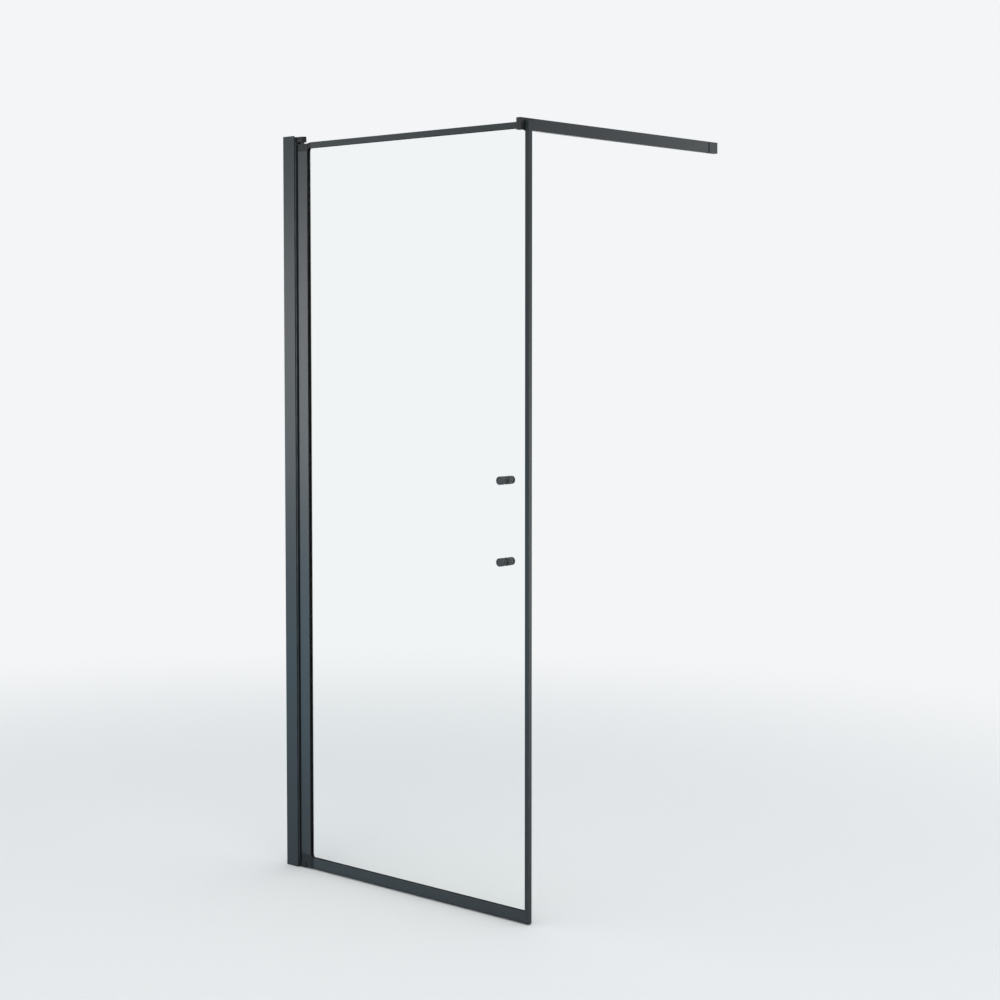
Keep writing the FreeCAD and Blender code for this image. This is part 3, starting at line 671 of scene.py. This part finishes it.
washer_sizes = {
    "Outer Radius": (washer_high.x - washer_low.x) / 2,
    "Inner Radius": 0.0031,
    "Thickness": (washer_high.y - glass_high.y) * washer_squeeze,
    "Depth": (washer_high.y + glass_high.y) / 2,
    "Spread": knob_spread,
}
buffer_sizes = {
    "Radius": (buffer_high.x - buffer_low.x) / 2,
    "Length": buffer_high.y - knob_end,
    "Start": knob_end,
    "Spread": knob_spread,
    "Squareness": 0.34,
}
washers = grown("soft_washers", washer_sizes, washer_shape, grey_finish)
buffers = grown("soft_buffers", buffer_sizes, buffer_shape, rubber_finish)
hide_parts("knob_washers")
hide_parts("knob_buffers")
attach(washers, "panel")
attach(buffers, "panel")

# Support arm
# A flat coated tube from a cast saddle on the top rail to a cast end piece on the second wall, which has the
# coat of the tube. Blackened screws hold the saddle on the rail, the tube on the saddle and the end piece in
# the tube.

dress(powder_coat("arm_tube"), "arm_tube")
dress(powder_coat("arm_wall_fitting"), "arm_wall_fitting")
dress(casting_coat("saddle_coat", 0.32), "arm_saddle")
dress(screw_finish, "clamp_screws", "arm_screw", "reach_screw")

# Clamp liner
# A moulded rubber U between the jaws and the rail. Small ribs on its inner sides grip the coat and leave no
# marks on it.

liner_low, liner_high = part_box("clamp_liner")
rail_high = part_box("top_rail")[1]
liner_path = [(x, 0, rail_high.z) for x in (liner_low.x, liner_high.x)]
liner_gap = 0.0001
rib_share = 0.86
rib_edge = 0.0008


def liner_shape(outside, inside, roof, drop, backing, ribs):
    height = drop / ribs
    side = outside - backing / 2
    top = bar(outside, outside * 2, roof, 0, roof / -2 - liner_gap, soft_edge)
    rib = bar(outside, outside - backing - inside, height * rib_share, 0, 0, rib_edge)
    parts = [top]
    for face in (-1, 1):
        parts.append(bar(outside, backing, drop, side * face, drop / 2, fine_edge))
        row = {
            "Count": ribs,
            "Start Location": outside.vector((outside - backing + inside) / 2 * face, height / 2, 0),
            "Offset": outside.vector(0, height, 0),
        }
        places = outside.node("GeometryNodeMeshLine", {}, row)
        set_out = outside.node("GeometryNodeInstanceOnPoints", {}, {"Points": places, "Instance": rib})
        parts.append(outside.node("GeometryNodeRealizeInstances", {}, {"Geometry": set_out}))
    return swept(*liner_path, together(parts))


liner_sizes = {
    "Outside": liner_high.y,
    "Inside": rail_high.y + liner_gap,
    "Roof": liner_high.z - rail_high.z - liner_gap,
    "Drop": rail_high.z - liner_low.z,
    "Backing": 0.0026,
    "Ribs": 6.0,
}
liner = grown("ribbed_liner", liner_sizes, liner_shape, rubber_finish)
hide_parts("clamp_liner")
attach(liner, "support_arm")

# Floor and background
# A plain pale floor that fades into a plain pale background a few metres away. The background is also what
# gloss and glass see.

background = (0.90, 0.915, 0.925, 1)
floor_reach = 40.0
floor_drop = 0.0006
fade_start = 0.9
fade_end = 4.0
floor_mesh = bpy.data.meshes.new("floor")
floor_signs = ((-1, -1), (1, -1), (1, 1), (-1, 1))
floor_corners = [(x * floor_reach, y * floor_reach, -floor_drop) for x, y in floor_signs]
floor_mesh.from_pydata(floor_corners, [], [(0, 1, 2, 3)])
floor = bpy.data.objects.new("floor", floor_mesh)
bpy.context.scene.collection.objects.link(floor)

floor_finish, floor_place = new_finish("floor")
floor_nodes = floor_finish.node_tree.nodes
distance = floor_place.node("ShaderNodeVectorMath", {"operation": "LENGTH"}, {0: floor_place}, "Value")
faded = distance.step(fade_start, fade_end)
haze = floor_place.node("ShaderNodeEmission", {}, {"Color": background})
plain = Wire(floor_finish.node_tree, floor_nodes["Principled BSDF"].outputs["BSDF"])
surface(floor_finish, {"Base Color": (0.86, 0.85, 0.84, 1), "Roughness": 0.9, "Specular IOR Level": 0.1})
floor_seen = floor_place.node("ShaderNodeMixShader", {}, {0: faded, 1: plain, 2: haze})
floor_finish.node_tree.links.new(floor_seen.socket, floor_nodes["Material Output"].inputs["Surface"])
floor_mesh.materials.append(floor_finish)

world = bpy.data.worlds.new("studio")
bpy.context.scene.world = world
world.use_nodes = True
world_nodes = world.node_tree.nodes
sky = Wire(world.node_tree)
path = sky.node("ShaderNodeLightPath", {}, {}).socket.node
seen_by = ("Is Camera Ray", "Is Glossy Ray", "Is Transmission Ray")
rays = [Wire(world.node_tree, path.outputs[ray]) for ray in seen_by]
shown = rays[0].larger(rays[1]).larger(rays[2])
light_strength = 0.8
light_colour = (0.90, 0.96, 1.0)
sky_colour = shown.between(light_colour, background[:3])
sky_strength = shown * (1 - light_strength) + light_strength
world.node_tree.links.new(sky_colour.socket, world_nodes["Background"].inputs["Color"])
world.node_tree.links.new(sky_strength.socket, world_nodes["Background"].inputs["Strength"])

# Lamps
# Soft boxes: one overhead for everything, two on the left for the hinge side and the foot of the frame, three
# on the right for the free edge, the arm and the knobs, one behind. All but the first light only the dark
# pieces, so that the glass mirrors none of them.

lit_groups = {"arm_lit": ["arm_tube", "arm_wall_fitting"], "free_lit": ["free_stile"]}
free_side = lit_groups["arm_lit"] + lit_groups["free_lit"]
lit_groups["knob_lit"] = ["outer_knobs", "inner_knobs"]
lit_groups["low_lit"] = [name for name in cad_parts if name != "glass_pane"]
lit_groups["hinge_lit"] = [name for name in lit_groups["low_lit"] if name not in free_side]
for group, names in lit_groups.items():
    collection = bpy.data.collections.new(group)
    for name in names:
        collection.objects.link(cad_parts[name])


def soft_box(name, place, target, width, height, power, lit=None, colour=(1, 1, 1)):
    """A rectangular studio lamp that faces a point and may light one collection alone."""
    lamp = bpy.data.lights.new(name, "AREA")
    lamp.shape = "RECTANGLE"
    lamp.size = width
    lamp.size_y = height
    lamp.energy = power
    lamp.color = colour
    holder = bpy.data.objects.new(name, lamp)
    holder.location = place
    holder.rotation_euler = (Vector(target) - Vector(place)).to_track_quat("-Z", "Y").to_euler()
    holder.visible_camera = False
    bpy.context.scene.collection.objects.link(holder)
    if lit:
        holder.light_linking.receiver_collection = bpy.data.collections[lit]


cool = (0.36, 0.76, 1.0)
soft_box("top_soft_box", (1.2, -0.8, 4.2), (0.5, 0.2, 0.0), 2.6, 2.6, 45)
soft_box("left_soft_box", (-0.78, -0.91, 1.38), (0.02, 0.0, 1.35), 0.25, 0.9, 13.5, "hinge_lit")
soft_box("low_soft_box", (-1.44, -1.66, 0.30), (0.02, 0.0, 0.5), 0.6, 0.5, 13, "low_lit", cool)
soft_box("right_soft_box", (2.4, 1.9, 0.8), (0.87, 0.1, 0.9), 0.5, 1.2, 20, "free_lit")
soft_box("arm_soft_box", (1.55, 1.72, 2.05), (0.86, 0.7, 1.97), 0.4, 0.4, 2.3, "arm_lit")
soft_box("knob_soft_box", (2.0, 0.04, 1.05), (0.79, 0.0, 1.0), 0.3, 0.5, 13, "knob_lit")
soft_box("back_soft_box", (-1.6, 2.4, 1.6), (0.3, 0.0, 1.1), 0.9, 1.6, 30, "low_lit")

# Camera
# Eye height across the room, looking past the free edge to the hinge side and tilted down a little. A small
# shift keeps the uprights nearly parallel.

camera_tilt = 3.003
camera_turn = 41.53
camera_data = bpy.data.cameras.new("camera")
camera_data.sensor_width = 36.0
camera_data.lens = 70.27
camera_data.shift_y = -0.055
camera = bpy.data.objects.new("camera", camera_data)
camera.location = (3.98255, -3.62121, 1.44221)
camera.rotation_euler = (math.radians(90 - camera_tilt), 0, math.radians(camera_turn))
bpy.context.scene.collection.objects.link(camera)
bpy.context.scene.camera = camera

bpy.context.view_layer.update()
